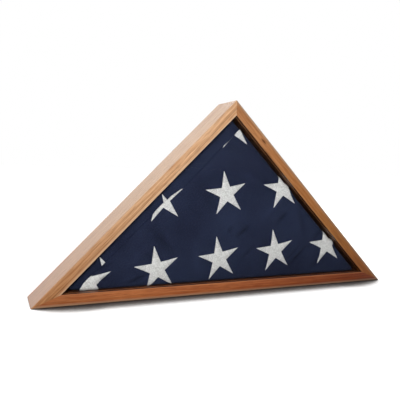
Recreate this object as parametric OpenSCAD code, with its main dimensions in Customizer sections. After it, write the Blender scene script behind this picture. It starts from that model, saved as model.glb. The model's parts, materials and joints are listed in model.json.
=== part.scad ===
// Triangular display case for a flag folded into a right-angled triangle.
// X runs along the base, Y from the glazed front to the back, Z up.
// The origin is the middle of the case's footprint, on the surface it stands on.

/* [Case] */
// Outer width along the base; the height is half of it
case_w = 680; // [520:1:800]
// Depth of the three boards, front edge to back edge
board_d = 76; // [64:1:110]
// Thickness of the three boards
board_t = 19; // [16:0.5:25]

/* [Corner joints] */
// Length of the beech biscuit in each mitre
biscuit_len = 47; // [30:1:47]
// Width of a biscuit, half of it in each board
biscuit_w = 15; // [12:0.5:18]
// Thickness of a biscuit
biscuit_t = 4; // [3:0.5:5]
// Distance from the inside corner to the middle of the biscuit, along the mitre
biscuit_from_inside = 12; // [10:0.5:14]
// Clearance round a biscuit in its slot
biscuit_fit = 0.15; // [0.05:0.05:0.3]

/* [Glazing] */
// Thickness of the glass
glass_t = 2.5; // [2:0.1:4]
// Distance from the front edges back to the glazing groove
glass_setback = 6; // [4:0.5:10]
// Depth of the groove that holds the glass
groove_depth = 6; // [4:0.5:8]
// Clearance between the glass and each wall of its groove
glass_fit = 0.2; // [0.1:0.05:0.3]

/* [Back panel] */
// Thickness of the plywood panel
panel_t = 5; // [3:0.5:8]
// Width of the rebate that the panel sits in
rebate_w = 7; // [5:0.5:8]
// Gap round the edge of the panel
panel_fit = 0.5; // [0.2:0.1:0.9]

/* [Flag] */
// Distance from the back of the glass to the front of the flag
flag_front_gap = 6.3; // [5:0.1:12]
// Gap between the flag and the sloping boards
flag_side_gap = 4; // [1:0.5:8]
// Gap between the back of the flag and the panel
flag_back_gap = 0.8; // [0.3:0.1:0.9]
// Clearance under the flag, where it rests on the base board
flag_rest_gap = 0.3; // [0.2:0.1:0.5]
// Radius of the flag's three folded corners
flag_corner_r = 9; // [4:1:16]

/* [Turn buttons] */
// Radius of the button round its screw
button_hub_r = 5; // [4:0.25:5.5]
// Distance from the screw to the middle of the tongue's round tip
button_reach = 20; // [14:0.5:30]
// Width of the tongue
button_tongue_w = 7; // [5:0.5:8]
// Thickness of the brass sheet
button_t = 1.5; // [1:0.1:1.7]
// Running clearance of a button on its screw
button_bore_fit = 0.08; // [0.02:0.01:0.1]
// Gap under a button, and again under the screw's head
button_gap = 0.2; // [0.1:0.05:0.3]
// Distance of the base board's buttons from the middle
base_button_x = 150; // [60:5:180]
// Distance along each sloping board from the apex to its button
leg_button_from_apex = 250; // [200:5:280]

/* [Screws] */
// Diameter of a screw's shank
screw_d = 3.5; // [3:0.1:4]
// Length of a screw below its head
screw_len = 16; // [10:1:20]
// Diameter of the pan head
head_d = 7; // [6:0.1:8]
// Height of the pan head
head_h = 1.9; // [1.5:0.1:2]
// Width of one arm of the cross recess
recess_w = 0.9; // [0.6:0.1:1.2]
// Span of the cross recess
recess_span = 3.8; // [3:0.1:4.5]
// Depth of the cross recess
recess_depth = 1.1; // [0.8:0.1:1.4]
// Clearance of a shank in its hole in the wood
pilot_fit = 0.05; // [0.02:0.01:0.1]

/* [Ring hangers] */
// Distance along each sloping board from the apex to the ring's hinge
hanger_from_apex = 120; // [80:5:150]
// Width of the strap
strap_w = 7; // [5:0.5:7]
// Thickness of the strap
strap_t = 0.8; // [0.6:0.1:0.8]
// Distance from the ring's hinge to the strap's screw
strap_screw_x = 17; // [16:0.5:22]
// Diameter of the ring's wire
wire_d = 1.8; // [1.5:0.1:1.8]
// Running clearance of the ring's bar in the strap's roll
wire_fit = 0.1; // [0.05:0.01:0.1]
// Wall of the strap's roll
roll_wall = 0.9; // [0.8:0.05:0.95]
// Gap inside the ring on each side of the strap
ring_side_gap = 0.5; // [0.3:0.05:0.6]
// Length of the ring's straight sides
ring_leg = 4; // [3:0.5:10]
// Radius of the wire's two square corners
ring_corner_r = 1.8; // [1.5:0.1:2.5]

/* [Bumpers] */
// Diameter of the rubber bumpers that keep the hardware off a wall
bumper_d = 10; // [8:0.5:11]
// Height of a bumper
bumper_h = 4; // [4:0.1:6]
// Distance from the lower corner to a bumper's middle
bumper_from_corner = 50; // [40:1:80]

/* [Hidden] */
$fn = 64;

root2 = sqrt(2);
apex_z = case_w / 2;
front_y = -(board_d + bumper_h) / 2;
rear_y = front_y + board_d;

// glazing groove, glass, rebate and flag, front to back
groove_y = front_y + glass_setback;
groove_w = glass_t + 2 * glass_fit;
glass_y = groove_y + glass_fit;
flag_y = glass_y + glass_t + flag_front_gap;
panel_y = rear_y - panel_t;
flag_t = panel_y - flag_back_gap - flag_y;
groove_inset = board_t - groove_depth;
rebate_inset = board_t - rebate_w;

// the biscuits lie midway between the groove and the rebate
biscuit_y = (groove_y + groove_w + panel_y) / 2;
corner_mitre = board_t / sin(22.5);
apex_mitre = board_t * root2;

// hardware runs along the middle of the boards' back edges
edge_inset = rebate_inset / 2;
left_leg = 45;
right_leg = 135;

// facets round each folded corner of the flag
fold_steps = 8;

// ring hanger
roll_r = wire_d / 2 + wire_fit + roll_wall;
ring_half_w = strap_w / 2 + ring_side_gap + wire_d / 2;

// heights of the screw heads above the boards' back edges
button_seat = button_t + 2 * button_gap;
strap_seat = strap_t;

// corners of the case's triangle, moved in by one distance at the two
// sloping sides and by another at the base
function corners(side_in, base_in) =
    let (half = apex_z - side_in * root2)
    [[base_in - half, base_in], [half - base_in, base_in], [0, half]];

// points along an arc round a middle
function arc(middle, r, from, to) =
    [for (k = [0:fold_steps])
        let (a = from + (to - from) * k / fold_steps)
            middle + r * [cos(a), sin(a)]];

// a point on a sloping board's back edge, from_apex down from the apex
function leg_point(from_apex, side) =
    [side * (from_apex - edge_inset) / root2,
     apex_z - (from_apex + edge_inset) / root2];

// where each button's screw goes, and the way its tongue points
BUTTONS = [
    [leg_point(leg_button_from_apex, -1), left_leg - 90],
    [leg_point(leg_button_from_apex, 1), right_leg + 90],
    [[-base_button_x, edge_inset], 90],
    [[base_button_x, edge_inset], 90]];

// where each ring hinges, and the way its board runs up to the apex
HANGERS = [
    [leg_point(hanger_from_apex, -1), left_leg],
    [leg_point(hanger_from_apex, 1), right_leg]];

// stands a flat outline up in the XZ plane, from y to y + depth
module upright(y, depth)
    translate([0, y + depth, 0])
        rotate([90, 0, 0])
            linear_extrude(depth) children();

// puts a child drawn in XY on the boards' back edges: its X turned to
// the angle, its Z pointing backwards
module on_rear(point, angle)
    translate([point[0], rear_y, point[1]])
        rotate([0, -angle, 0])
            rotate([-90, 0, 0]) children();

module triangle(inset)
    polygon(corners(inset, inset));

// triangle with its three corners rounded
module round_triangle(side_in, base_in, r) {
    middles = corners(side_in + r, base_in + r);
    polygon(concat(
        arc(middles[0], r, 135, 270), arc(middles[1], r, 270, 405),
        arc(middles[2], r, 45, 135)));
}

// lens-shaped biscuit; grow widens it all round into its slot
module biscuit(grow) {
    half_l = biscuit_len / 2 + grow;
    half_w = biscuit_w / 2 + grow;
    arc_r = (half_l * half_l + half_w * half_w) / (2 * half_w);
    linear_extrude(biscuit_t + 2 * grow, center = true)
        intersection_for (side = [-1, 1])
            translate([0, side * (arc_r - half_w)]) circle(arc_r, $fn = 180);
}

// a biscuit in the mitre that leaves a corner at an angle
module mitre_biscuit(corner, angle, mitre, grow)
    translate([corner[0], biscuit_y, corner[1]])
        rotate([0, -angle, 0])
            translate([mitre - biscuit_from_inside, 0, 0])
                rotate([90, 0, 90]) biscuit(grow);

module left_biscuit(grow = 0)
    mitre_biscuit([-case_w / 2, 0], 22.5, corner_mitre, grow);

module right_biscuit(grow = 0)
    mitre_biscuit([case_w / 2, 0], 157.5, corner_mitre, grow);

module top_biscuit(grow = 0)
    mitre_biscuit([0, apex_z], -90, apex_mitre, grow);

// what is cut out of every board: groove, rebate, slots and screw holes
module board_cuts() {
    upright(groove_y, groove_w) triangle(groove_inset);
    upright(panel_y, panel_t + 1) triangle(rebate_inset);
    left_biscuit(biscuit_fit);
    right_biscuit(biscuit_fit);
    top_biscuit(biscuit_fit);
    for (b = BUTTONS)
        on_rear(b[0], b[1]) pilot_hole(screw_len - button_seat);
    for (h = HANGERS)
        on_rear(h[0], h[1])
            translate([-strap_screw_x, 0, 0]) pilot_hole(screw_len - strap_seat);
}

module pilot_hole(depth)
    translate([0, 0, -depth - 1])
        cylinder(d = screw_d + 2 * pilot_fit, h = depth + 2);

// one board: an outline with mitred ends
module board(points)
    difference() {
        upright(front_y, board_d) polygon(points);
        board_cuts();
    }

module base_board() {
    outer = corners(0, 0);
    inner = corners(board_t, board_t);
    color("peru") board([outer[0], outer[1], inner[1], inner[0]]);
}

module left_side_board() {
    outer = corners(0, 0);
    inner = corners(board_t, board_t);
    color("burlywood") board([outer[0], inner[0], inner[2], outer[2]]);
}

module right_side_board() {
    outer = corners(0, 0);
    inner = corners(board_t, board_t);
    color("sienna") board([outer[1], outer[2], inner[2], inner[1]]);
}

module left_corner_biscuit()
    color("wheat") left_biscuit();

module right_corner_biscuit()
    color("wheat") right_biscuit();

module apex_biscuit()
    color("wheat") top_biscuit();

module glass_pane()
    color("lightcyan", 0.4)
        upright(glass_y, glass_t) triangle(groove_inset + glass_fit);

module folded_flag()
    color("midnightblue")
        upright(flag_y, flag_t)
            round_triangle(board_t + flag_side_gap, board_t + flag_rest_gap, flag_corner_r);

module back_panel()
    color("saddlebrown")
        upright(panel_y, panel_t) triangle(rebate_inset + panel_fit);

// button drawn with its screw at the origin and its tongue along X
module turn_button(index)
    color("goldenrod")
        on_rear(BUTTONS[index][0], BUTTONS[index][1])
            translate([0, 0, button_gap])
                difference() {
                    union() {
                        cylinder(r = button_hub_r, h = button_t);
                        translate([0, -button_tongue_w / 2, 0])
                            cube([button_reach, button_tongue_w, button_t]);
                        translate([button_reach, 0, 0])
                            cylinder(d = button_tongue_w, h = button_t);
                    }
                    translate([0, 0, -1])
                        cylinder(r = screw_d / 2 + button_bore_fit, h = button_t + 2);
                }

module left_turn_button() turn_button(0);
module right_turn_button() turn_button(1);
module base_left_turn_button() turn_button(2);
module base_right_turn_button() turn_button(3);

// pan head screw, its head's underside seat above the origin
module screw(seat) {
    tip_len = screw_d;
    dome_r = (head_d * head_d / 4 + head_h * head_h) / (2 * head_h);
    translate([0, 0, seat]) {
        difference() {
            intersection() {
                cylinder(d = head_d, h = head_h);
                translate([0, 0, head_h - dome_r]) sphere(dome_r, $fn = 180);
            }
            for (turn = [0, 90])
                rotate([0, 0, turn])
                    translate([-recess_span / 2, -recess_w / 2, head_h - recess_depth])
                        cube([recess_span, recess_w, recess_depth + 1]);
        }
        translate([0, 0, tip_len - screw_len])
            cylinder(d = screw_d, h = screw_len - tip_len);
        translate([0, 0, -screw_len])
            cylinder(d1 = 0.4, d2 = screw_d, h = tip_len);
    }
}

module pan_head_screws()
    color("darkgoldenrod") {
        for (b = BUTTONS)
            on_rear(b[0], b[1]) screw(button_seat);
        for (h = HANGERS)
            on_rear(h[0], h[1])
                translate([-strap_screw_x, 0, 0]) screw(strap_seat);
    }

// strap drawn with the ring's hinge at the origin, running along -X
module hanger_strap(index)
    color("silver")
        on_rear(HANGERS[index][0], HANGERS[index][1])
            difference() {
                union() {
                    linear_extrude(strap_t) {
                        translate([-strap_screw_x, -strap_w / 2])
                            square([strap_screw_x, strap_w]);
                        translate([-strap_screw_x, 0]) circle(strap_w / 2);
                    }
                    ring_bar(roll_r, strap_w);
                }
                ring_bar(wire_d / 2 + wire_fit, strap_w + 1);
                translate([-strap_screw_x, 0, -1])
                    cylinder(d = screw_d + 2 * pilot_fit, h = strap_t + 2);
            }

// cylinder on the ring's hinge line
module ring_bar(r, length)
    translate([0, length / 2, roll_r])
        rotate([90, 0, 0]) cylinder(r = r, h = length);

// D-shaped wire ring, its straight bar on the hinge line; it hangs folded
// down over the strap
module hanger_ring(index) {
    bar_half = ring_half_w - ring_corner_r;
    color("gainsboro")
        on_rear(HANGERS[index][0], HANGERS[index][1] + 180) {
            ring_bar(wire_d / 2, 2 * bar_half);
            translate([0, 0, roll_r]) {
                for (side = [-1, 1]) {
                    translate([ring_corner_r, side * bar_half, 0])
                        mirror([0, side < 0 ? 1 : 0, 0])
                            rotate([0, 0, 90]) wire_bend(ring_corner_r, 90);
                    translate([ring_corner_r, side * ring_half_w, 0])
                        rotate([0, 90, 0]) cylinder(d = wire_d, h = ring_leg);
                }
                translate([ring_corner_r + ring_leg, 0, 0])
                    rotate([0, 0, -90]) wire_bend(ring_half_w, 180);
            }
        }
}

// round wire bent through an angle, starting on the X axis
module wire_bend(r, angle)
    rotate_extrude(angle = angle)
        translate([r, 0]) circle(d = wire_d);

module left_hanger_strap() hanger_strap(0);
module right_hanger_strap() hanger_strap(1);
module left_hanger_ring() hanger_ring(0);
module right_hanger_ring() hanger_ring(1);

// rubber dome on the base board's back edge
module bumper(side) {
    dome_r = (bumper_d * bumper_d / 4 + bumper_h * bumper_h) / (2 * bumper_h) + 1;
    color("dimgray")
        on_rear([side * (case_w / 2 - bumper_from_corner), edge_inset], 0)
            intersection() {
                cylinder(d = bumper_d, h = bumper_h);
                translate([0, 0, bumper_h - dome_r]) sphere(dome_r, $fn = 180);
            }
}

module left_bumper() bumper(-1);
module right_bumper() bumper(1);

base_board();
left_side_board();
right_side_board();
left_corner_biscuit();
right_corner_biscuit();
apex_biscuit();
glass_pane();
folded_flag();
back_panel();
left_turn_button();
right_turn_button();
base_left_turn_button();
base_right_turn_button();
pan_head_screws();
left_hanger_strap();
right_hanger_strap();
left_hanger_ring();
right_hanger_ring();
left_bumper();
right_bumper();
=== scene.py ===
import json
import math

import bmesh
import bpy
from mathutils import Matrix, Vector, noise

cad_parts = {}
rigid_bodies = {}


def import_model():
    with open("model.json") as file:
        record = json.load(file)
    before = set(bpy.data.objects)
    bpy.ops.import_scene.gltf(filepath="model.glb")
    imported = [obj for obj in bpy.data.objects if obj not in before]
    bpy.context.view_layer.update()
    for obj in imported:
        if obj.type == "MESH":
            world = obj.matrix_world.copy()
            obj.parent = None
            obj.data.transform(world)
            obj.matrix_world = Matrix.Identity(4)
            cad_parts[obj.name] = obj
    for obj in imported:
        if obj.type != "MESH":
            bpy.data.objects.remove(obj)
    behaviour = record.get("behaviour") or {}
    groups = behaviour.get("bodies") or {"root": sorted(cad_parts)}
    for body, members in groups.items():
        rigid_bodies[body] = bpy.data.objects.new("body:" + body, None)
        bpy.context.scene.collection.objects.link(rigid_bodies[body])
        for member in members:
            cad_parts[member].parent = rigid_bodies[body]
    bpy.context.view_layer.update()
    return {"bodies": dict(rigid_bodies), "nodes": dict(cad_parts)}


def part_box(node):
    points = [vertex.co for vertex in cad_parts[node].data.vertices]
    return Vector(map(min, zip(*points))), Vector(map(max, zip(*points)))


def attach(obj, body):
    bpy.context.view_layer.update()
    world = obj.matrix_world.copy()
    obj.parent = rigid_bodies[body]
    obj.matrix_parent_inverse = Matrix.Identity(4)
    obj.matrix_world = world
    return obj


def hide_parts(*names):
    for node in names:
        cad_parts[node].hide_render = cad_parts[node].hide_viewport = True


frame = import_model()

mm = 0.001
root2 = math.sqrt(2)
scene = bpy.context.scene
nodes = frame["nodes"]

# sizes that the frame gives, in metres
boardLow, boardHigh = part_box("base_board")
glassLow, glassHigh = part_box("glass_pane")
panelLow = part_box("back_panel")[0]
flagLow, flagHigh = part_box("folded_flag")
halfWidth = boardHigh.x  # also the height, because the top corner is square
boardThick = boardHigh.z


def hexColor(code):  # sRGB hex to linear
    channels = [int(code[i:i + 2], 16) / 255 for i in (0, 2, 4)]
    return tuple(c / 12.92 if c <= 0.04045 else ((c + 0.055) / 1.055) ** 2.4 for c in channels) + (1.0,)


def addNode(tree, kind, inputs=None, stops=None, **settings):
    # inputs are values, sockets or nodes; stops are the places and colours of a colour ramp
    node = tree.nodes.new("ShaderNode" + kind)
    for key, value in settings.items():
        setattr(node, key, value)
    for key, value in (inputs or {}).items():
        socket = node.inputs[key] if isinstance(key, int) else next(
            s for s in node.inputs if s.enabled and s.name == key)
        if isinstance(value, bpy.types.Node):
            value = next(s for s in value.outputs if s.enabled)
        if isinstance(value, bpy.types.NodeSocket):
            tree.links.new(value, socket)
        else:
            socket.default_value = value
    if stops:
        elements = node.color_ramp.elements
        while len(elements) < len(stops):
            elements.new(0.5)
        for element, (place, color) in zip(elements, stops):
            element.position = place
            element.color = hexColor(color)
    return node


def startMaterial(name, **values):
    # a material with its shader's constants set, ready for the nodes that vary
    material = bpy.data.materials.new(name)
    material.use_nodes = True
    tree = material.node_tree
    shader = tree.nodes["Principled BSDF"]
    for key, value in values.items():
        shader.inputs[key.replace("_", " ")].default_value = value
    return material, tree, shader


def finishMesh(name, bm, *materials, smooth=False):
    mesh = bpy.data.meshes.new(name)
    bm.to_mesh(mesh)
    bm.free()
    mesh.polygons.foreach_set("use_smooth", [smooth] * len(mesh.polygons))
    for material in materials:
        mesh.materials.append(material)
    piece = bpy.data.objects.new(name, mesh)
    scene.collection.objects.link(piece)
    return piece


def cutAlong(bm, point, outward, clear=False):
    # cuts a mesh by a plane and clears what lies past it, then gives the points and edges of the cut
    return bmesh.ops.bisect_plane(
        bm, geom=bm.verts[:] + bm.edges[:] + bm.faces[:], plane_co=point,
        plane_no=Vector(outward).normalized(), clear_outer=clear, dist=1e-7)["geom_cut"]


print("stage: camera, light and floor")
camera = {
    "place": (-0.3934, -0.8110, 0.2291),
    "yaw": 23.07,  # degrees to the right of straight ahead
    "pitch": 4.31,  # degrees down
    "roll": 1.59,
    "lens": 44.15,
}
studio = {
    "lamps": [  # name, place, aim, width, watts, colour, and whether gloss mirrors it
        ("keyLamp", (-0.62, -1.25, 0.62), (-0.05, 0.0, 0.13), 0.35, 14.0, "FFFCF9", False),
        ("sideLamp", (-1.6, 0.2, 1.5), (-0.1, 0.0, 0.15), 1.0, 6.5, "FFFFFF", True),
        ("backLamp", (0.9, 1.5, 1.2), (0.0, 0.0, 0.1), 1.2, 15.0, "FFFFFF", True),
    ],
    "skyLevel": 0.55,
    "nearShade": 0.15,  # what is left of the sky's light on the viewer's side of the studio
    "skyFade": (-0.5, 0.3),  # headings between which the sky brightens, from the viewer's side to the back
    "floorRadius": 14,
    "floorGlow": 0.85,
    "floorFade": (-0.1, 0.08),  # depths between which the floor's mirror image brightens towards the back
    "paintedShadowReach": 66 * mm,  # how far the painted shadow round the object reaches on the floor
    "paintedShadowTones": [  # tones of the painted shadow, from deep under the object to the open floor
        (0.50, "1E1B1A"), (0.72, "4A4644"), (0.77, "6E6B69"), (0.86, "D0D0D0"), (0.92, "F6F6F6")],
}


def makeCamera():
    data = bpy.data.cameras.new("camera")
    data.lens = camera["lens"]
    data.sensor_width = 36
    data.clip_start = 0.01
    view = bpy.data.objects.new("camera", data)
    turn = (Matrix.Rotation(-math.radians(camera["yaw"]), 4, "Z")
            @ Matrix.Rotation(math.radians(90 - camera["pitch"]), 4, "X")
            @ Matrix.Rotation(math.radians(camera["roll"]), 4, "Z"))
    view.matrix_world = Matrix.Translation(camera["place"]) @ turn
    scene.collection.objects.link(view)
    scene.camera = view


def makeLamps():
    for name, place, aim, width, watts, color, mirrored in studio["lamps"]:
        data = bpy.data.lights.new(name, "AREA")
        data.shape = "DISK"
        data.size = width
        data.energy = watts
        data.color = hexColor(color)[:3]
        lamp = bpy.data.objects.new(name, data)
        facing = (Vector(aim) - Vector(place)).to_track_quat("-Z", "Y").to_matrix().to_4x4()
        lamp.matrix_world = Matrix.Translation(place) @ facing
        lamp.visible_glossy = mirrored
        scene.collection.objects.link(lamp)


def makeSky():
    # white where it is seen
    # gloss mirrors it white behind the object and dim in front, and as a light it is softer
    world = bpy.data.worlds.new("studioSky")
    scene.world = world
    world.use_nodes = True
    tree = world.node_tree
    path = addNode(tree, "LightPath").outputs
    heading = addNode(tree, "SeparateXYZ", {0: addNode(tree, "TexCoord").outputs["Generated"]})
    side = addNode(tree, "MapRange", {
        "Value": heading.outputs[1], "From Min": studio["skyFade"][0], "From Max": studio["skyFade"][1],
        "To Min": studio["nearShade"]}, interpolation_type="SMOOTHSTEP")
    soft = addNode(tree, "MapRange", {
        "Value": path["Is Glossy Ray"], "To Min": studio["skyLevel"], "To Max": 1.0})
    level = addNode(tree, "Math", {0: side, 1: soft}, operation="MULTIPLY")
    seen = addNode(tree, "Math", {
        0: path["Is Camera Ray"], 1: path["Is Transmission Ray"]}, operation="MAXIMUM")
    level = addNode(tree, "Mix", {"Factor": seen, 2: level, 3: 1.0})
    tree.links.new(level.outputs[0], tree.nodes["Background"].inputs["Strength"])
    tree.nodes["Background"].inputs["Color"].default_value = (1, 1, 1, 1)


def makeFloor():
    # matt white paper sweep with a painted soft shadow where the object stands, and whose mirror image dims
    # in front
    bm = bmesh.new()
    bmesh.ops.create_circle(bm, cap_ends=True, segments=64, radius=studio["floorRadius"])
    material, tree, shader = startMaterial("mattPaperSweep", Roughness=0.95, Specular_IOR_Level=0.1)
    # painted shadow: ambient occlusion darkens the floor's colour and glow round the object
    paintedShadow = addNode(tree, "AmbientOcclusion", {"Distance": studio["paintedShadowReach"]}, samples=12)
    shade = addNode(tree, "ValToRGB", {"Fac": paintedShadow.outputs["AO"]}, stops=studio["paintedShadowTones"])
    tree.links.new(shade.outputs[0], shader.inputs["Base Color"])
    path = addNode(tree, "LightPath").outputs
    seen = addNode(tree, "Math", {
        0: path["Is Camera Ray"], 1: path["Is Transmission Ray"]}, operation="MAXIMUM")
    strength = addNode(tree, "Math", {0: seen, 1: studio["floorGlow"]}, operation="MULTIPLY")
    glow = addNode(tree, "Emission", {"Color": shade, "Strength": strength})
    lit = addNode(tree, "AddShader", {0: shader, 1: glow})
    place = addNode(tree, "SeparateXYZ", {0: addNode(tree, "NewGeometry").outputs["Position"]})
    side = addNode(tree, "MapRange", {
        "Value": place.outputs[1], "From Min": studio["floorFade"][0], "From Max": studio["floorFade"][1],
        "To Min": studio["nearShade"]})
    mirrored = addNode(tree, "Emission", {"Color": shade, "Strength": side})
    both = addNode(tree, "MixShader", {0: path["Is Glossy Ray"], 1: lit, 2: mirrored})
    tree.links.new(both.outputs[0], tree.nodes["Material Output"].inputs["Surface"])
    floor = finishMesh("floor", bm, material)
    floor.location.z = -0.1 * mm


makeCamera()
makeLamps()
makeSky()
makeFloor()
scene.view_settings.view_transform = "Standard"

print("stage: boards")
joinery = {
    "grooveDepth": 6 * mm,
    "grooveFit": 0.2 * mm,
    "rebateWidth": 7 * mm,
    "frontArris": 1.7 * mm,  # rounding of the front outer edge
    "innerArris": 1.2 * mm,
    "backArris": 0.8 * mm,
    "mitreGap": 0.05 * mm,
}
wood = {
    "ringGap": 3.4 * mm,
    "ringShare": 0.12,  # how much of the tone the rings make
    "grain": [(2.6 * mm, 0.38), (0.9 * mm, 0.50)],  # the same for broad and fine fibres, after their widths
    "poreWidth": 0.6 * mm,
    "poreDepth": 0.5,  # how dark the pores are
    "strayWidth": 38.5 * mm,  # of the rings' bends, measured across a board
    "bend": 0.16,  # those bends' width as a share of their length
    "wander": 9 * mm,  # how far the rings stray
    "markTone": "6A3E20",  # of pores, streaks and knots
    "knotDepth": 20 * mm,
    "paintedEdgeLight": (1.2 * mm, 5.6 * mm),  # reach of the painted light on the rounded front outer edge, whole and fading out
    # tone of that painted light, paler and greyer than the wood
    "paintedEdgeTone": "AA9078",
    "pith": (0.055, -0.062),  # the tree's middle, back from the middle of the board and out from its face
}
# turn: degrees about Y that lay the grain along the board; across: 1 where its outer face slopes
# film: share of lacquer, and after it the share of painted light on the rounded front outer edge
# stretch: a fibre's width as a share of its length; seed: where along the tree the board was cut
# the tone along the board, from one end of its span to the other: partly the board's own, partly painted
# light falloff
# streaks, which are growth lines: place from the outer face and width in mm, and strength
# knots: place along, place from the outer face, length and width in mm
# bands beside the inner edge, paler or darker: start and end in mm from the inner face, strength
# and tone; the last, near black, is painted shade over the inner face
boards = {
    "left_side_board": {
        "turn": -135, "across": 1, "film": 0.75, "wearAndEdgeLight": 0.1, "stretch": 0.034, "seed": 0.37,
        "early": "F4CEA8", "late": "D4A478", "span": (-0.24, 0.24),
        "toneAndFalloff": [(0.0, "E8DCD0"), (0.2, "F6F0EC"), (0.5, "E4DACF"), (1.0, "C09F7A")],
        "streaks": [(12.4, 0.9, 0.5), (9.4, 0.5, 0.2), (5.2, 0.4, 0.14)], "knots": [],
        "bandsAndInnerShade": [(4.2, 1.2, 0.55, "DCC0A0"), (0.4, 0.1, 0.93, "2C160C")]},
    "right_side_board": {
        "turn": 135, "across": 1, "film": 0.75, "wearAndEdgeLight": 0.85, "stretch": 0.034, "seed": 1.91,
        "early": "D09A66", "late": "B07846", "span": (-0.24, 0.24),
        "toneAndFalloff": [(0.0, "C89A5E"), (0.15, "C8A87C"), (0.3, "D9C49C"), (0.6, "E8D6C0"), (1.0, "EEE8F0")],
        "streaks": [(4.2, 0.7, 0.25), (13.0, 0.5, 0.15)], "knots": [(152, 9.2, 10.0, 2.6)],
        "bandsAndInnerShade": [(1.6, 0.6, 0.35, "8A5830"), (0.4, 0.1, 0.94, "2C160C")]},
    "base_board": {
        "turn": 0, "across": 0, "film": 0.75, "wearAndEdgeLight": 0.75, "stretch": 0.034, "seed": 3.13,
        "early": "D18550", "late": "AF6032", "span": (-0.30, 0.30),
        "toneAndFalloff": [(0.0, "E4E2DE"), (0.2, "F8F0E8"), (0.5, "ECDAD2"), (0.8, "D4B6A8"), (1.0, "B48C7C")],
        "streaks": [(6.5, 0.5, 0.25), (14.0, 0.4, 0.2)], "knots": [],
        "bandsAndInnerShade": [(3.0, 1.0, 0.4, "C0835A"), (0.4, 0.1, 0.93, "2A1109")]},
}


def growthTone(tree, look, board, log):
    # rings and fibres: gives the tone, the distance from the pith and the fine fibres
    bent = addNode(tree, "Mapping", {
        "Vector": board, "Scale": (wood["bend"], 1, 1), "Location": (look["seed"], 0, 0)})
    stray = addNode(tree, "TexNoise", {"Vector": bent, "Scale": 1 / wood["strayWidth"], "Detail": 2.0})
    flat = addNode(tree, "VectorMath", {0: log, 1: (0, 1, 1)}, operation="MULTIPLY")
    reach = addNode(tree, "VectorMath", {0: flat}, operation="LENGTH")
    radius = addNode(tree, "Math", {
        0: stray, 1: wood["wander"], 2: reach.outputs[1]}, operation="MULTIPLY_ADD")
    ring = addNode(tree, "Math", {0: radius, 1: wood["ringGap"] / 2}, operation="PINGPONG")
    shade = addNode(tree, "Math", {0: ring, 1: wood["ringShare"] * 2 / wood["ringGap"]}, operation="MULTIPLY")
    for width, share in wood["grain"]:
        fibres = addNode(tree, "TexNoise", {"Vector": log, "Scale": 1 / width, "Detail": 3.0})
        shade = addNode(tree, "Math", {0: fibres, 1: share, 2: shade}, operation="MULTIPLY_ADD")
    tone = addNode(tree, "ValToRGB", {"Fac": shade}, stops=[(0.40, look["early"]), (0.60, look["late"])])
    return tone, radius, fibres


def darkMarks(tree, look, board, log, radius):
    # how strong the pores, the dark growth lines and the knots are
    pores = addNode(tree, "TexNoise", {"Vector": log, "Scale": 1 / wood["poreWidth"], "Detail": 1.0})
    marks = [addNode(tree, "MapRange", {
        "Value": pores, "From Min": 0.58, "From Max": 0.70, "To Max": wood["poreDepth"]})]
    for middle, width, strength in look["streaks"]:
        front = math.hypot(boardLow.y - wood["pith"][0], middle * mm - wood["pith"][1]) + wood["wander"] / 2
        away = addNode(tree, "Math", {0: radius, 1: front}, operation="SUBTRACT")
        away = addNode(tree, "Math", {0: away}, operation="ABSOLUTE")
        marks.append(addNode(tree, "MapRange", {
            "Value": away, "From Max": width * mm, "To Min": strength, "To Max": 0.0},
            interpolation_type="SMOOTHSTEP"))
    for middle, inward, length, width in look["knots"]:
        spot = (middle * mm, boardLow.y, inward * mm)
        away = addNode(tree, "VectorMath", {0: board, 1: spot}, operation="SUBTRACT")
        away = addNode(tree, "VectorMath", {
            0: away, 1: (1 / (length * mm), 1 / wood["knotDepth"], 1 / (width * mm))}, operation="MULTIPLY")
        away = addNode(tree, "VectorMath", {0: away}, operation="LENGTH")
        marks.append(addNode(tree, "MapRange", {
            "Value": away.outputs[1], "From Min": 0.3, "From Max": 1.0, "To Min": 0.95, "To Max": 0.0},
            interpolation_type="SMOOTHSTEP"))
    return marks


def toneAndPaintedLight(tree, look, board, tone):
    # the tone along the board with painted light falloff, the bands beside the inner edge with painted shade
    # over the inner face, and painted light on the front outer edge
    place = addNode(tree, "SeparateXYZ", {0: board})
    along = addNode(tree, "MapRange", {
        "Value": place.outputs[0], "From Min": look["span"][0], "From Max": look["span"][1]})
    # the tone along the board, partly its own and partly painted light falloff
    toneAndFalloff = addNode(tree, "ValToRGB", {"Fac": along}, stops=look["toneAndFalloff"])
    tone = addNode(tree, "Mix", {
        "Factor": 1.0, "A": tone, "B": toneAndFalloff}, data_type="RGBA", blend_type="MULTIPLY")
    # the last band paints shade over the inner face
    for start, end, level, color in look["bandsAndInnerShade"]:
        share = addNode(tree, "MapRange", {
            "Value": place.outputs[2], "From Min": boardThick - start * mm, "From Max": boardThick - end * mm,
            "To Max": level})
        tone = addNode(tree, "Mix", {"Factor": share, "A": tone, "B": hexColor(color)}, data_type="RGBA")
    # painted light on the rounded front outer edge, paler and greyer
    edge = addNode(tree, "VectorMath", {
        0: board, 1: (0, 1, 1), 2: (0, -boardLow.y, 0)}, operation="MULTIPLY_ADD")
    edge = addNode(tree, "VectorMath", {0: edge}, operation="LENGTH")
    paintedEdgeLight = addNode(tree, "MapRange", {
        "Value": edge.outputs[1], "From Min": wood["paintedEdgeLight"][0], "From Max": wood["paintedEdgeLight"][1],
        "To Min": look["wearAndEdgeLight"], "To Max": 0.0})
    return addNode(tree, "Mix", {
        "Factor": paintedEdgeLight, "A": tone, "B": hexColor(wood["paintedEdgeTone"])}, data_type="RGBA")


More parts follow.
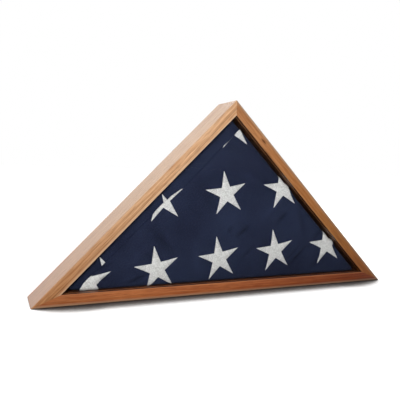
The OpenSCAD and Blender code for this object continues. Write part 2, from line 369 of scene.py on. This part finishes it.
def woodMaterial(name, look):
    # hardwood: growth rings cut lengthwise, fibres and dark pores, under a satin film that shines at a slant;
    # with painted light falloff along the board, painted shade over its inner face and painted light on its
    # front outer edge
    material, tree, shader = startMaterial(
        name, Roughness=0.5, Specular_IOR_Level=0.25, Coat_Weight=look["film"], Coat_Roughness=0.22,
        Coat_IOR=1.5)
    outer = halfWidth / root2 if look["across"] else 0.0
    coords = addNode(tree, "TexCoord").outputs["Object"]
    board = addNode(tree, "Mapping", {  # x along the board, z in from its outer face
        "Vector": coords, "Rotation": (0, math.radians(look["turn"]), 0), "Location": (0, 0, outer)})
    log = addNode(tree, "Mapping", {  # y and z from the pith
        "Vector": board, "Scale": (look["stretch"], 1, 1),
        "Location": (look["seed"], -wood["pith"][0], -wood["pith"][1])})
    tone, radius, fibres = growthTone(tree, look, board, log)
    for mark in darkMarks(tree, look, board, log, radius):
        tone = addNode(tree, "Mix", {
            "Factor": mark, "A": tone, "B": hexColor(wood["markTone"])}, data_type="RGBA")
    tone = toneAndPaintedLight(tree, look, board, tone)
    tree.links.new(tone.outputs[2], shader.inputs["Base Color"])
    bump = addNode(tree, "Bump", {"Height": fibres, "Strength": 0.2, "Distance": 0.1 * mm})
    tree.links.new(bump.outputs[0], shader.inputs["Normal"])
    return material


def boardMesh(along, start, inward, mitres):
    # the board's section, drawn out past both ends, laid in its place and cut to its mitres
    grooveFront = glassLow.y - joinery["grooveFit"]
    grooveBack = glassHigh.y + joinery["grooveFit"]
    grooveFloor = boardThick - joinery["grooveDepth"]
    rebate = boardThick - joinery["rebateWidth"]
    section = [(boardLow.y, 0), (boardHigh.y, 0), (boardHigh.y, rebate), (panelLow.y, rebate),
               (panelLow.y, boardThick), (grooveBack, boardThick), (grooveBack, grooveFloor),
               (grooveFront, grooveFloor), (grooveFront, boardThick), (boardLow.y, boardThick)]
    bm = bmesh.new()
    corners = [bm.verts.new((-halfWidth, depth, inside)) for depth, inside in section]
    bm.faces.new(corners)
    rounded = [(corners[0], "frontArris"), (corners[9], "innerArris"), (corners[1], "backArris")]
    for corner, arris in rounded:
        bmesh.ops.bevel(bm, geom=[corner], offset=joinery[arris], offset_type="OFFSET", affect="VERTICES",
                        segments=5, profile=0.5, material=-1)
    grown = bmesh.ops.extrude_face_region(bm, geom=bm.faces[:])["geom"]
    farEnd = [g for g in grown if isinstance(g, bmesh.types.BMVert)]
    bmesh.ops.translate(bm, vec=(4 * halfWidth, 0, 0), verts=farEnd)
    turned = Matrix((Vector(along).normalized(), (0, 1, 0), Vector(inward).normalized())).transposed()
    bmesh.ops.transform(bm, matrix=Matrix.Translation(start) @ turned.to_4x4(), verts=bm.verts)
    for point, outward in mitres:
        outward = Vector(outward).normalized()
        cut = cutAlong(bm, Vector(point) - outward * joinery["mitreGap"], outward, clear=True)
        bmesh.ops.contextual_create(bm, geom=[g for g in cut if isinstance(g, bmesh.types.BMEdge)])
    bmesh.ops.recalc_face_normals(bm, faces=bm.faces)
    return bm


def makeBoards():
    lean = math.radians(22.5)  # of the two lower mitres
    left, right, top = (-halfWidth, 0, 0), (halfWidth, 0, 0), (0, 0, halfWidth)
    leftUp = Vector((-math.sin(lean), 0, math.cos(lean)))
    rightUp = Vector((math.sin(lean), 0, math.cos(lean)))
    shapes = {
        "left_side_board": ((1, 0, 1), left, (1, 0, -1), [(left, -leftUp), (top, (1, 0, 0))]),
        "right_side_board": ((-1, 0, 1), right, (-1, 0, -1), [(right, -rightUp), (top, (-1, 0, 0))]),
        "base_board": ((1, 0, 0), left, (0, 0, 1), [(left, leftUp), (right, rightUp)]),
    }
    for node, shape in shapes.items():
        material = woodMaterial("lacqueredWood_" + node, boards[node])
        board = finishMesh(node + "_wood", boardMesh(*shape), material)
        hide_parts(node)
        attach(board, "case")


makeBoards()

print("stage: glass, back panel and biscuits")
glass = {
    "tint": "FDFEFD",
    "refraction": 1.08,  # of the coated face: the coating leaves a fraction of a percent of a mirror
}
panel = {
    "turn": 0, "across": 0, "film": 0.1, "wearAndEdgeLight": 0.0, "stretch": 0.010, "seed": 5.71,
    "early": "AA7646", "late": "8A5A32", "span": (-0.3, 0.3), "toneAndFalloff": [(0.0, "FFFFFF"), (1.0, "F2E8E0")],
    "streaks": [], "knots": [], "bandsAndInnerShade": []}
biscuits = {
    "turn": 90, "across": 0, "film": 0.0, "wearAndEdgeLight": 0.0, "stretch": 0.034, "seed": 7.3,
    "early": "D9B788", "late": "C49A68", "span": (-0.3, 0.3), "toneAndFalloff": [(0.0, "FFFFFF"), (1.0, "F6F2EC")],
    "streaks": [], "knots": [], "bandsAndInnerShade": []}


def glassMaterial():
    # anti-reflection coated picture glass: clear, hardly mirrors, and lets lamps and stray light through
    material, tree, shader = startMaterial(
        "coatedPictureGlass", Base_Color=hexColor(glass["tint"]), Roughness=0.0, IOR=glass["refraction"],
        Transmission_Weight=1.0)
    path = addNode(tree, "LightPath").outputs
    clear = addNode(tree, "BsdfTransparent", {"Color": hexColor(glass["tint"])})
    inner = addNode(tree, "MixShader", {0: path["Is Diffuse Ray"], 1: shader, 2: clear})
    outer = addNode(tree, "MixShader", {0: path["Is Shadow Ray"], 1: inner, 2: clear})
    tree.links.new(outer.outputs[0], tree.nodes["Material Output"].inputs["Surface"])
    return material


def dress(node, material):
    # gives a CAD shape that is kept as it is its finish
    mesh = nodes[node].data
    mesh.materials.clear()
    mesh.materials.append(material)


dress("glass_pane", glassMaterial())
dress("back_panel", woodMaterial("stainedPlywood", panel))
beech = woodMaterial("pressedBeech", biscuits)
for biscuit in ("left_corner_biscuit", "right_corner_biscuit", "apex_biscuit"):
    dress(biscuit, beech)

print("stage: folded flag")
# across the cloth: a runs up beside the left board, b down beside the right one, from the middle of the base
flag = {
    "flat": (1.524, 2.896),  # a 5 by 9.5 ft flag
    "edgeRadius": 4 * mm,
    "cornerRadius": 9 * mm,  # of the CAD solid, which its height is measured over
    "loft": 0.5 * mm,  # how far the cloth springs out beyond the CAD solid
    "foldRadius": 0.6 * mm,  # of the turned-under edge along the left board
    "foldLine": [  # places a and b that the turned-under edge runs through, mm
        (-300, -200), (-180, -200), (-170, -202.4), (-156, -204), (-120, -203), (-60, -202.6),
        (-10, -201.2), (20, -201.8), (36, -200.4), (66, -196.2), (120, -195.4), (160, -195.4),
        (173, -195.1), (186, -194.75), (198, -194.8), (300, -196.0)],
    "turnedUnder": 18 * mm,  # least width of the strip that is turned under
    "underlap": 60 * mm,  # how far the lower ply runs on beyond that strip
    "ontoBack": 12 * mm,  # how far the cloth is wrapped onto the back
    "plyGap": 0.4 * mm,
    "lowerInset": 1.6 * mm,  # how much smaller the lower ply's triangle is
    "sheetHalf": 0.42,  # half the side of the flat square that a ply is cut from
    "gridStep": 2.0 * mm,
    "crown": 2.2 * mm,
    "crownReach": 60 * mm,  # distance from the edge over which the crown rises
    "softWave": (0.5 * mm, 14, 3.1),  # height, waves in a metre and seed
    "fineWave": (0.25 * mm, 30, 60, 8.7),  # the same, with the waves along a and along b
    "innerPlies": 56,
    "innerStart": 1.6 * mm,  # how far behind the lower ply they begin
    "innerEnd": 0.8 * mm,  # how far before the back they stop
    "innerInset": (4 * mm, 0.1 * mm),  # how far in from the edge the last one lies, and each earlier one more
}
creases = [  # start and end (x, z in mm), width, height
    ((16, 98), (41, 118), 3, -2.6), ((-2, 107), (6, 117), 3, -1.6), ((99, 121), (123, 143), 5, -2.4),
    ((131, 40), (166, 74), 3, -2.8), ((122, 50), (152, 77), 3, -1.6), ((148, 147), (162, 104), 6, -1.6),
    ((30, 59), (53, 79), 4, -1.5), ((-147, 121), (-104, 70), 9, -2.0), ((-187, 53), (-149, 89), 8, 1.4),
    ((-182, 26), (-152, 39), 3, -2.6), ((-198, 30), (-174, 36), 2.5, 1.5), ((-232, 31), (-222, 39), 4, -2.0),
    ((-10, 262), (22, 250), 4, -1.2), ((60, 200), (10, 215), 7, 0.9), ((175, 30), (215, 55), 5, -1.5),
    ((70, 130), (100, 160), 6, 1.2), ((-70, 100), (-62, 40), 9, 1.0), ((205, 110), (170, 70), 4, -1.2),
    ((-60, 200), (-20, 120), 10, -0.9), ((-250, 40), (-215, 62), 3, -1.4), ((60, 205), (92, 185), 5, -1.3),
]
bulges = [  # cloth that stands out against the right board: a, b, reach, amount in mm
    (221, -44, 13, 2.4), (221, 106, 13, 2.4),
]
# how far the flag reaches towards either side board, along a or against b
flagReach = (flagHigh.z + flag["cornerRadius"] * (root2 - 1)) / root2 + flag["loft"]


def creased(x, z):
    # how far the creases lift the cloth, or let it sink
    height = 0.0
    for (x0, z0), (x1, z1), width, amount in creases:
        start, end, point = Vector((x0, z0)) * mm, Vector((x1, z1)) * mm, Vector((x, z))
        span = end - start
        share = max(0.0, min(1.0, (point - start).dot(span) / span.length_squared))
        away = (point - start - span * share).length / (width * mm)
        if away < 3:  # beyond three widths nothing is left of it
            height += amount * mm * math.exp(-away * away) * math.sin(math.pi * (0.1 + 0.8 * share))
    return height


def stand(a, b):
    # how far the cloth stands forward: its crown, creases and soft waves
    x, z = (a + b) / root2, (a - b) / root2
    edge = min(z - flagLow.z, flagReach - a, flagReach + b)
    height = flag["crown"] * max(0.0, min(1.0, edge / flag["crownReach"])) ** 0.6 + creased(x, z)
    amount, waves, seed = flag["softWave"]
    height += amount * noise.noise(Vector((x * waves, z * waves, seed)))
    amount, alongA, alongB, seed = flag["fineWave"]
    height += amount * noise.noise(Vector((a * alongA, b * alongB, seed)))
    return height


def wrap(a, b, insets, rise, depth):
    # lays a point of the flat cloth over the front of the bundle, round its edge and onto its back
    radius = flag["edgeRadius"]
    low = (flagLow.z + insets[0] + radius) * root2
    right = flagReach - insets[1] - radius
    left = -(flagReach - insets[2] - radius)
    point = Vector((a, b))
    forward = stand(a, b)
    for bulgeA, bulgeB, reach, amount in bulges:
        away = (point - Vector((bulgeA, bulgeB)) * mm).length / (reach * mm)
        rise += amount * mm * math.exp(-away * away)
    if a <= right and b >= left and a - b >= low:
        return Vector(((a + b) / root2, flagLow.y + depth - forward - rise, (a - b) / root2))
    corners = [Vector((low + left, left)), Vector((right, right - low)), Vector((right, left))]
    choices = []
    for start, end in zip(corners, corners[1:] + corners[:1]):
        span = end - start
        share = max(0.0, min(1.0, (point - start).dot(span) / span.length_squared))
        near = start + span * share
        choices.append(((point - near).length, near))
    gap, near = min(choices, key=lambda choice: choice[0])
    out = (point - near) / gap
    quarter = radius * math.pi / 2
    side = flagHigh.y - flagLow.y - 2 * radius
    if gap < quarter:
        turn, slide, back = gap / radius, 0.0, 0.0
    elif gap < quarter + side:
        turn, slide, back = math.pi / 2, gap - quarter, 0.0
    elif gap < 2 * quarter + side:
        turn, slide, back = (gap - side) / radius, side, 0.0
    else:
        turn, slide, back = math.pi, side, gap - 2 * quarter - side
    flat = near + out * ((radius + rise) * math.sin(turn) - back)
    front = max(0.0, math.cos(turn))
    y = flagLow.y + radius - (radius + rise) * math.cos(turn) + slide + (depth - forward) * front * front
    return Vector(((flat.x + flat.y) / root2, y, (flat.x - flat.y) / root2))


def foldEdge(a):
    # where the outer ply turns under, for a place along the left board
    points = flag["foldLine"]
    for (a0, b0), (a1, b1) in zip(points, points[1:]):
        if a <= a1 * mm:
            break
    share = max(0.0, min(1.0, (a / mm - a0) / (a1 - a0)))
    return (b0 + (b1 - b0) * share * share * (3 - 2 * share)) * mm


def outerPly(a, b, rise=0.0):
    # the outer ply, turned under at its edge beside the left board; rise is how far a star stands on it
    line, radius = foldEdge(a) + flag["foldRadius"], flag["foldRadius"]
    if b >= line:
        return wrap(a, b, (0, 0, 0), rise, 0.0)
    turn = (line - b) / radius
    if turn < math.pi:
        away, depth = (radius + rise) * math.sin(turn), radius - (radius + rise) * math.cos(turn)
    else:
        away, depth = -(line - b - math.pi * radius), 2 * radius + rise
    return wrap(a, line - away, (0, 0, 0), 0.0, depth)


def lowerPly(a, b, rise=0.0):
    # the ply that shows between the turned-under edge and the left board
    inset = flag["lowerInset"]
    return wrap(a, b, (inset, inset, 0), rise, 2 * flag["foldRadius"] + flag["plyGap"])


def cutAtFold(bm):
    # edges that follow the turned-under edge, so that it bends cleanly
    radius = flag["foldRadius"]
    for vert in bm.verts:
        vert.co.y -= foldEdge(vert.co.x)
    for turn in range(5):
        cutAlong(bm, (0, radius * (1 - turn * math.pi / 4), 0), (0, 1, 0))
    for vert in bm.verts:
        vert.co.y += foldEdge(vert.co.x)


def clothGrid(sides):
    # a flat sheet with its threads along the boards, cut by lines through points
    bm = bmesh.new()
    count = int(2 * flag["sheetHalf"] / flag["gridStep"])
    bmesh.ops.create_grid(bm, x_segments=count, y_segments=count, size=flag["sheetHalf"])
    for point, outward in sides:
        cutAlong(bm, point, outward, clear=True)
    return bm


def layCloth(bm, place):
    # each point's place on the flat cloth stays as its UV, and its crease's height in mm as an attribute,
    # which the cloth's colour turns into painted shade in the hollows and painted light on the rises
    cloth = bm.loops.layers.uv.new("cloth")
    paintedCreaseShade = bm.verts.layers.float.new("creased")
    for face in bm.faces:
        for loop in face.loops:
            loop[cloth].uv = loop.vert.co.xy
    for vert in bm.verts:
        a, b = vert.co.xy
        vert[paintedCreaseShade] = creased((a + b) / root2, (a - b) / root2) / mm
        vert.co = place(a, b)


def innerPlies(bm):
    # the rest of the cloth, folded over and over into triangles, each joined to the next round one side
    count = flag["innerPlies"]
    first = flagLow.y + 2 * flag["foldRadius"] + 2 * flag["plyGap"] + flag["innerStart"]
    last = flagHigh.y - flag["innerEnd"]
    sides = []
    for index in range(count):
        ring = count - 1 - index  # later plies lie outside the earlier ones, at the front and back in turn
        share = (ring // 2) / (count - 1)
        y = first + share * (last - first) if ring % 2 else last - share * (last - first)
        inset = flag["innerInset"][0] + flag["innerInset"][1] * ring
        reach, low = flagReach - inset, (flagLow.z + inset) * root2
        spots = [(low - reach, -reach), (reach, reach - low), (reach, -reach)]
        corners = [bm.verts.new(((a + b) / root2, y, (a - b) / root2)) for a, b in spots]
        bm.faces.new(corners)
        ends = {"base": corners[:2], "right": corners[1:], "left": [corners[2], corners[0]]}
        sides.append({name: bm.edges.get(pair) for name, pair in ends.items()})
    order = ["base", "right", "base", "left"]
    for index in range(count - 1):
        name = order[index % 4]
        bmesh.ops.bridge_loops(bm, edges=[sides[index][name], sides[index + 1][name]])


cotton = {
    "light": "29314A",
    "dark": "1E2237",
    "thread": 0.9 * mm,
    "relief": 0.15 * mm,
    "slub": 2.38 * mm,  # width of the uneven spots in the yarn
    "cloud": 91 * mm,  # the same for the faint fading
    "nap": 0.03,
}


def cottonMaterial():
    # plain-woven cotton: dull, with a soft nap at glancing angles; threads drawn coarse enough to show;
    # painted shade in the creases' hollows and painted light on their rises
    material, tree, shader = startMaterial(
        "wovenCottonNavy", Roughness=0.88, Sheen_Weight=cotton["nap"], Sheen_Roughness=0.5,
        Specular_IOR_Level=0.1)
    cloth = addNode(tree, "UVMap", uv_map="cloth")
    coords = addNode(tree, "TexCoord").outputs["Object"]
    scale = 2 * math.pi / (20 * cotton["thread"])  # a wave texture of scale 1 repeats every pi/10
    warp = addNode(tree, "TexWave", {"Vector": cloth, "Scale": scale, "Distortion": 0.6}, bands_direction="X")
    weft = addNode(tree, "TexWave", {"Vector": cloth, "Scale": scale, "Distortion": 0.6}, bands_direction="Y")
    weave = addNode(tree, "Math", {0: warp.outputs["Fac"], 1: weft.outputs["Fac"]}, operation="MULTIPLY")
    cloud = addNode(tree, "TexNoise", {"Vector": coords, "Scale": 1 / cotton["cloud"], "Detail": 3.0})
    slub = addNode(tree, "TexNoise", {"Vector": cloth, "Scale": 1 / cotton["slub"], "Detail": 2.0})
    blend = addNode(tree, "Mix", {"Factor": 0.45, 2: cloud, 3: slub})
    tone = addNode(tree, "ValToRGB", {"Fac": blend}, stops=[(0.36, cotton["light"]), (0.64, cotton["dark"])])
    # painted shade in the creases' hollows and painted light on their rises, after the crease height
    paintedCreaseShade = addNode(tree, "Attribute", attribute_name="creased").outputs["Fac"]
    light = addNode(tree, "MapRange", {
        "Value": paintedCreaseShade, "From Min": -3.0, "From Max": 3.0, "To Min": 0.62, "To Max": 1.38})
    light = addNode(tree, "Math", {0: weave, 1: -0.1, 2: light}, operation="MULTIPLY_ADD")
    tone = addNode(tree, "VectorMath", {0: tone, 3: light}, operation="SCALE")
    tree.links.new(tone.outputs[0], shader.inputs["Base Color"])
    bump = addNode(tree, "Bump", {"Height": weave, "Strength": 0.3, "Distance": cotton["relief"]})
    tree.links.new(bump.outputs[0], shader.inputs["Normal"])
    return material


stars = {
    "radius": 41.2 * mm,
    "notch": 0.335,  # the inner radius, as a share of the outer one
    "lean": 9,  # degrees, counter-clockwise
    "lift": 0.04 * mm,  # how far even its edge stands on the cloth
    "ridge": 0.8 * mm,  # along the middle of each arm
    "ridgeStart": 3 * mm,  # distance from the edge over which the ridge rises
    "rim": 0.35 * mm,  # height of the stitched edge
    "rimWidth": 1.4 * mm,
    "cuts": 10,  # of each edge of the star's first faces
    "stitch": 1.3 * mm,
    "fleck": 2.5 * mm,  # width of the uneven spots in the thread
    "patch": 16.7 * mm,  # the same for the faint fading
    "onOuter": [(118.6, -130.5), (207.9, -55.4), (-62.3, -128.7), (28.5, -55.5), (116.7, 19.7), (204.8, 98.0),
                (26.3, -208.0), (-156.9, -198.6), (208.6, -207.0)],  # middles, a and b in mm
    "onLower": [(21.2, -175.7), (-124.8, -177.2)],
    "lowerLean": 28,
}


def starHeight(reach, angle):
    # ridge along each arm, falling to a stitched rim; angle is from the nearest arm's middle
    radius, notch = stars["radius"], stars["notch"] * stars["radius"]
    tip, dip = Vector((radius, 0)), Vector((notch * math.cos(math.pi / 5), notch * math.sin(math.pi / 5)))
    point = Vector((reach * math.cos(angle), reach * math.sin(abs(angle))))
    side = dip - tip
    fromEdge = abs(side.cross(point - tip)) / side.length
    rim = stars["rim"] * min(1.0, fromEdge / stars["rimWidth"]) ** 0.5
    ridge = stars["ridge"] * max(0.0, 1 - point.y / dip.y) * min(1.0, fromEdge / stars["ridgeStart"])
    return stars["lift"] + rim + ridge


def starMesh(whole, middle, lean, place):
    # one star, laid on the cloth by its ply's function and added to the whole
    bm = bmesh.new()
    bmesh.ops.create_circle(bm, cap_ends=True, cap_tris=True, segments=10, radius=stars["radius"])
    rim = sorted((v for v in bm.verts if v.is_boundary), key=lambda v: math.atan2(v.co.y, v.co.x))
    for vert in rim[1::2]:
        vert.co *= stars["notch"]
    first = math.atan2(rim[0].co.y, rim[0].co.x)
    bmesh.ops.inset_region(bm, faces=bm.faces[:], thickness=stars["rimWidth"], use_even_offset=True)
    bmesh.ops.subdivide_edges(bm, edges=bm.edges[:], cuts=stars["cuts"], use_grid_fill=True)
    fifth = 2 * math.pi / 5
    upright = math.radians(45 + lean) - first
    spot = Vector((middle[0], middle[1], 0)) * mm
    for vert in bm.verts:
        reach, turned = vert.co.xy.length, math.atan2(vert.co.y, vert.co.x) + upright
        vert.co = spot + Vector((reach * math.cos(turned), -reach * math.sin(turned), 0))
    if place == outerPly:
        cutAtFold(bm)
    cloth, stitch = whole.loops.layers.uv["cloth"], whole.loops.layers.uv["stitch"]
    made = {}
    for vert in bm.verts:
        a, b = vert.co.xy
        reach, angle = (vert.co - spot).length, math.atan2(spot.y - b, a - spot.x) - upright - first
        fromArm = (angle + fifth / 2) % fifth - fifth / 2
        rise = 0.0 if vert.is_boundary else starHeight(reach, fromArm)
        along, across = reach * math.cos(fromArm), reach * math.sin(fromArm)
        made[vert] = (whole.verts.new(place(a, b, rise)), (a, b), (along, across))
    for face in bm.faces:
        new = whole.faces.new([made[v][0] for v in face.verts])
        for loop, vert in zip(new.loops, face.verts):
            loop[cloth].uv, loop[stitch].uv = made[vert][1:]
    bm.free()


def starPiece(name, middles, lean, place, material):
    whole = bmesh.new()
    whole.loops.layers.uv.new("cloth")
    whole.loops.layers.uv.new("stitch")
    for middle in middles:
        starMesh(whole, middle, lean, place)
    whole.normal_update()
    if sum(face.normal.y for face in whole.faces) > 0:
        bmesh.ops.reverse_faces(whole, faces=whole.faces)
    return finishMesh(name, whole, material, smooth=True)


def starMaterial():
    # satin-stitched white thread: a little silky, in rows of stitches that are drawn coarse enough to show
    material, tree, shader = startMaterial(
        "satinStitchedThread", Roughness=0.7, Sheen_Weight=0.1, Sheen_Roughness=0.4, Specular_IOR_Level=0.25)
    stitch = addNode(tree, "UVMap", uv_map="stitch")
    rows = addNode(tree, "TexWave", {
        "Vector": stitch, "Scale": 2 * math.pi / (20 * stars["stitch"]), "Distortion": 1.2,
        "Detail": 1.0}, bands_direction="X")
    fleck = addNode(tree, "TexNoise", {"Vector": stitch, "Scale": 1 / stars["fleck"], "Detail": 3.0})
    patch = addNode(tree, "TexNoise", {"Vector": stitch, "Scale": 1 / stars["patch"], "Detail": 2.0})
    blend = addNode(tree, "Mix", {"Factor": 0.35, 2: fleck, 3: patch})
    tone = addNode(tree, "ValToRGB", {"Fac": blend}, stops=[(0.38, "EFEFF1"), (0.64, "BFBFC2")])
    dim = addNode(tree, "Math", {0: rows.outputs["Fac"], 1: 0.08}, operation="MULTIPLY")
    tone = addNode(tree, "Mix", {"Factor": dim, "A": tone, "B": hexColor("8E9090")}, data_type="RGBA")
    tree.links.new(tone.outputs[2], shader.inputs["Base Color"])
    bump = addNode(tree, "Bump", {"Height": rows.outputs["Fac"], "Strength": 0.3, "Distance": 0.15 * mm})
    tree.links.new(bump.outputs[0], shader.inputs["Normal"])
    return material


def makeFlag():
    radius = flag["edgeRadius"]
    skirt = radius * (math.pi - 1) + flagHigh.y - flagLow.y - 2 * radius + flag["ontoBack"]
    below = (flagLow.z + radius) * root2 / 2 - skirt / root2
    base = ((below, -below, 0), (-1, 1, 0))
    right = ((flagReach + skirt, 0, 0), (1, 0, 0))
    turned = min(b for a, b in flag["foldLine"]) * mm - flag["turnedUnder"]
    cloth = clothGrid([base, right, ((0, turned, 0), (0, -1, 0))])
    cutAtFold(cloth)
    layCloth(cloth, outerPly)
    lower = clothGrid([base, right, ((0, -flagReach - skirt, 0), (0, -1, 0)),
                       ((0, turned + flag["underlap"], 0), (0, 1, 0))])
    layCloth(lower, lowerPly)
    scrap = bpy.data.meshes.new("scrap")
    lower.to_mesh(scrap)
    lower.free()
    cloth.from_mesh(scrap)
    bpy.data.meshes.remove(scrap)
    innerPlies(cloth)
    bundle = finishMesh("folded_flag_cloth", cloth, cottonMaterial(), smooth=True)
    thread = starMaterial()
    outer = starPiece("outer_stars", stars["onOuter"], stars["lean"], outerPly, thread)
    under = starPiece("lower_stars", stars["onLower"], stars["lowerLean"], lowerPly, thread)
    for piece in (bundle, outer, under):
        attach(piece, "case")
    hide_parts("folded_flag")


makeFlag()

print("stage: hardware")
metals = {
    "stampedBrass": ("C9A35B", 0.3),
    "brassPlatedScrew": ("BF9A55", 0.28),
    "zincPlatedSteel": ("BFC2C4", 0.32),
}
wear = {
    "dulled": 0.62,  # tone of the duller patches, as a share of the bright metal's
    "patch": 7.14 * mm,
    "scuff": 1.11 * mm,
    "spread": (-0.08, 0.12),  # how much the scuffs take from and add to the roughness
}
rubber = {
    "fresh": "1D1C1B",
    "dusty": "393635",
    "dust": 3.85 * mm,
    "pebble": 0.625 * mm,
}
edges = {  # in degrees
    "flat": 0.5,  # faces that meet at less are one
    "sharp": 38,  # edges that turn by more are broken
}
fittings = [  # words in a node's name, material, slot, rounding of the edges
    ("turn_button", "stampedBrass", "brass_sheet", 0.3 * mm),
    ("screws", "brassPlatedScrew", "brass_screw", 0.12 * mm),
    ("strap", "zincPlatedSteel", "zinc_steel", 0.15 * mm),
    ("ring", "zincPlatedSteel", "zinc_steel", 0.0),
    ("bumper", "mouldedRubber", "rubber", 0.6 * mm),
]


def metalMaterial(name):
    # stamped and plated sheet metal: bright, with duller patches, and scuffs that spread the shine
    # the scuffs are drawn coarse enough to show
    color, roughness = metals[name]
    material, tree, shader = startMaterial(name, Metallic=1.0)
    coords = addNode(tree, "TexCoord").outputs["Object"]
    patches = addNode(tree, "TexNoise", {"Vector": coords, "Scale": 1 / wear["patch"], "Detail": 3.0})
    dull = tuple(c * wear["dulled"] for c in hexColor(color)[:3]) + (1.0,)
    wearAndEdgeLight = addNode(tree, "Mix", {"Factor": patches, "A": hexColor(color), "B": dull}, data_type="RGBA")
    tree.links.new(wearAndEdgeLight.outputs[2], shader.inputs["Base Color"])
    scuffs = addNode(tree, "TexNoise", {"Vector": coords, "Scale": 1 / wear["scuff"], "Detail": 4.0})
    spread = addNode(tree, "MapRange", {
        "Value": scuffs, "To Min": roughness + wear["spread"][0], "To Max": roughness + wear["spread"][1]})
    tree.links.new(spread.outputs[0], shader.inputs["Roughness"])
    return material


def rubberMaterial():
    # moulded rubber: near black, dull and dusty, with faint pebbles that are drawn coarse enough to show
    material, tree, shader = startMaterial("mouldedRubber", Roughness=0.7)
    coords = addNode(tree, "TexCoord").outputs["Object"]
    dust = addNode(tree, "TexNoise", {"Vector": coords, "Scale": 1 / rubber["dust"], "Detail": 4.0})
    tone = addNode(tree, "ValToRGB", {"Fac": dust}, stops=[(0.40, rubber["fresh"]), (0.70, rubber["dusty"])])
    tree.links.new(tone.outputs[0], shader.inputs["Base Color"])
    pebbles = addNode(tree, "TexVoronoi", {"Vector": coords, "Scale": 1 / rubber["pebble"]})
    bump = addNode(tree, "Bump", {"Height": pebbles, "Strength": 0.4, "Distance": 0.1 * mm})
    tree.links.new(bump.outputs[0], shader.inputs["Normal"])
    return material


def fitting(node, material, rounding):
    # a merged copy of the CAD shape with its sharp edges broken
    bm = bmesh.new()
    bm.from_mesh(nodes[node].data)
    bmesh.ops.remove_doubles(bm, verts=bm.verts, dist=1e-6)
    bmesh.ops.dissolve_limit(bm, angle_limit=math.radians(edges["flat"]), verts=bm.verts, edges=bm.edges)
    bmesh.ops.recalc_face_normals(bm, faces=bm.faces)
    piece = finishMesh(node + "_fitting", bm, material, smooth=True)
    piece.data.set_sharp_from_angle(angle=math.radians(edges["sharp"]))
    if rounding:
        broken = piece.modifiers.new("brokenEdges", "BEVEL")
        broken.width = rounding
        broken.segments = 2
        broken.limit_method = "ANGLE"
        broken.angle_limit = math.radians(edges["sharp"])
    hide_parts(node)
    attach(piece, node if node in frame["bodies"] else "case")


def makeFittings():
    materials = {name: metalMaterial(name) for name in metals}
    materials["mouldedRubber"] = rubberMaterial()
    for node in list(nodes):
        for words, name, slotName, rounding in fittings:
            if words in node:
                fitting(node, materials[name], rounding)


makeFittings()
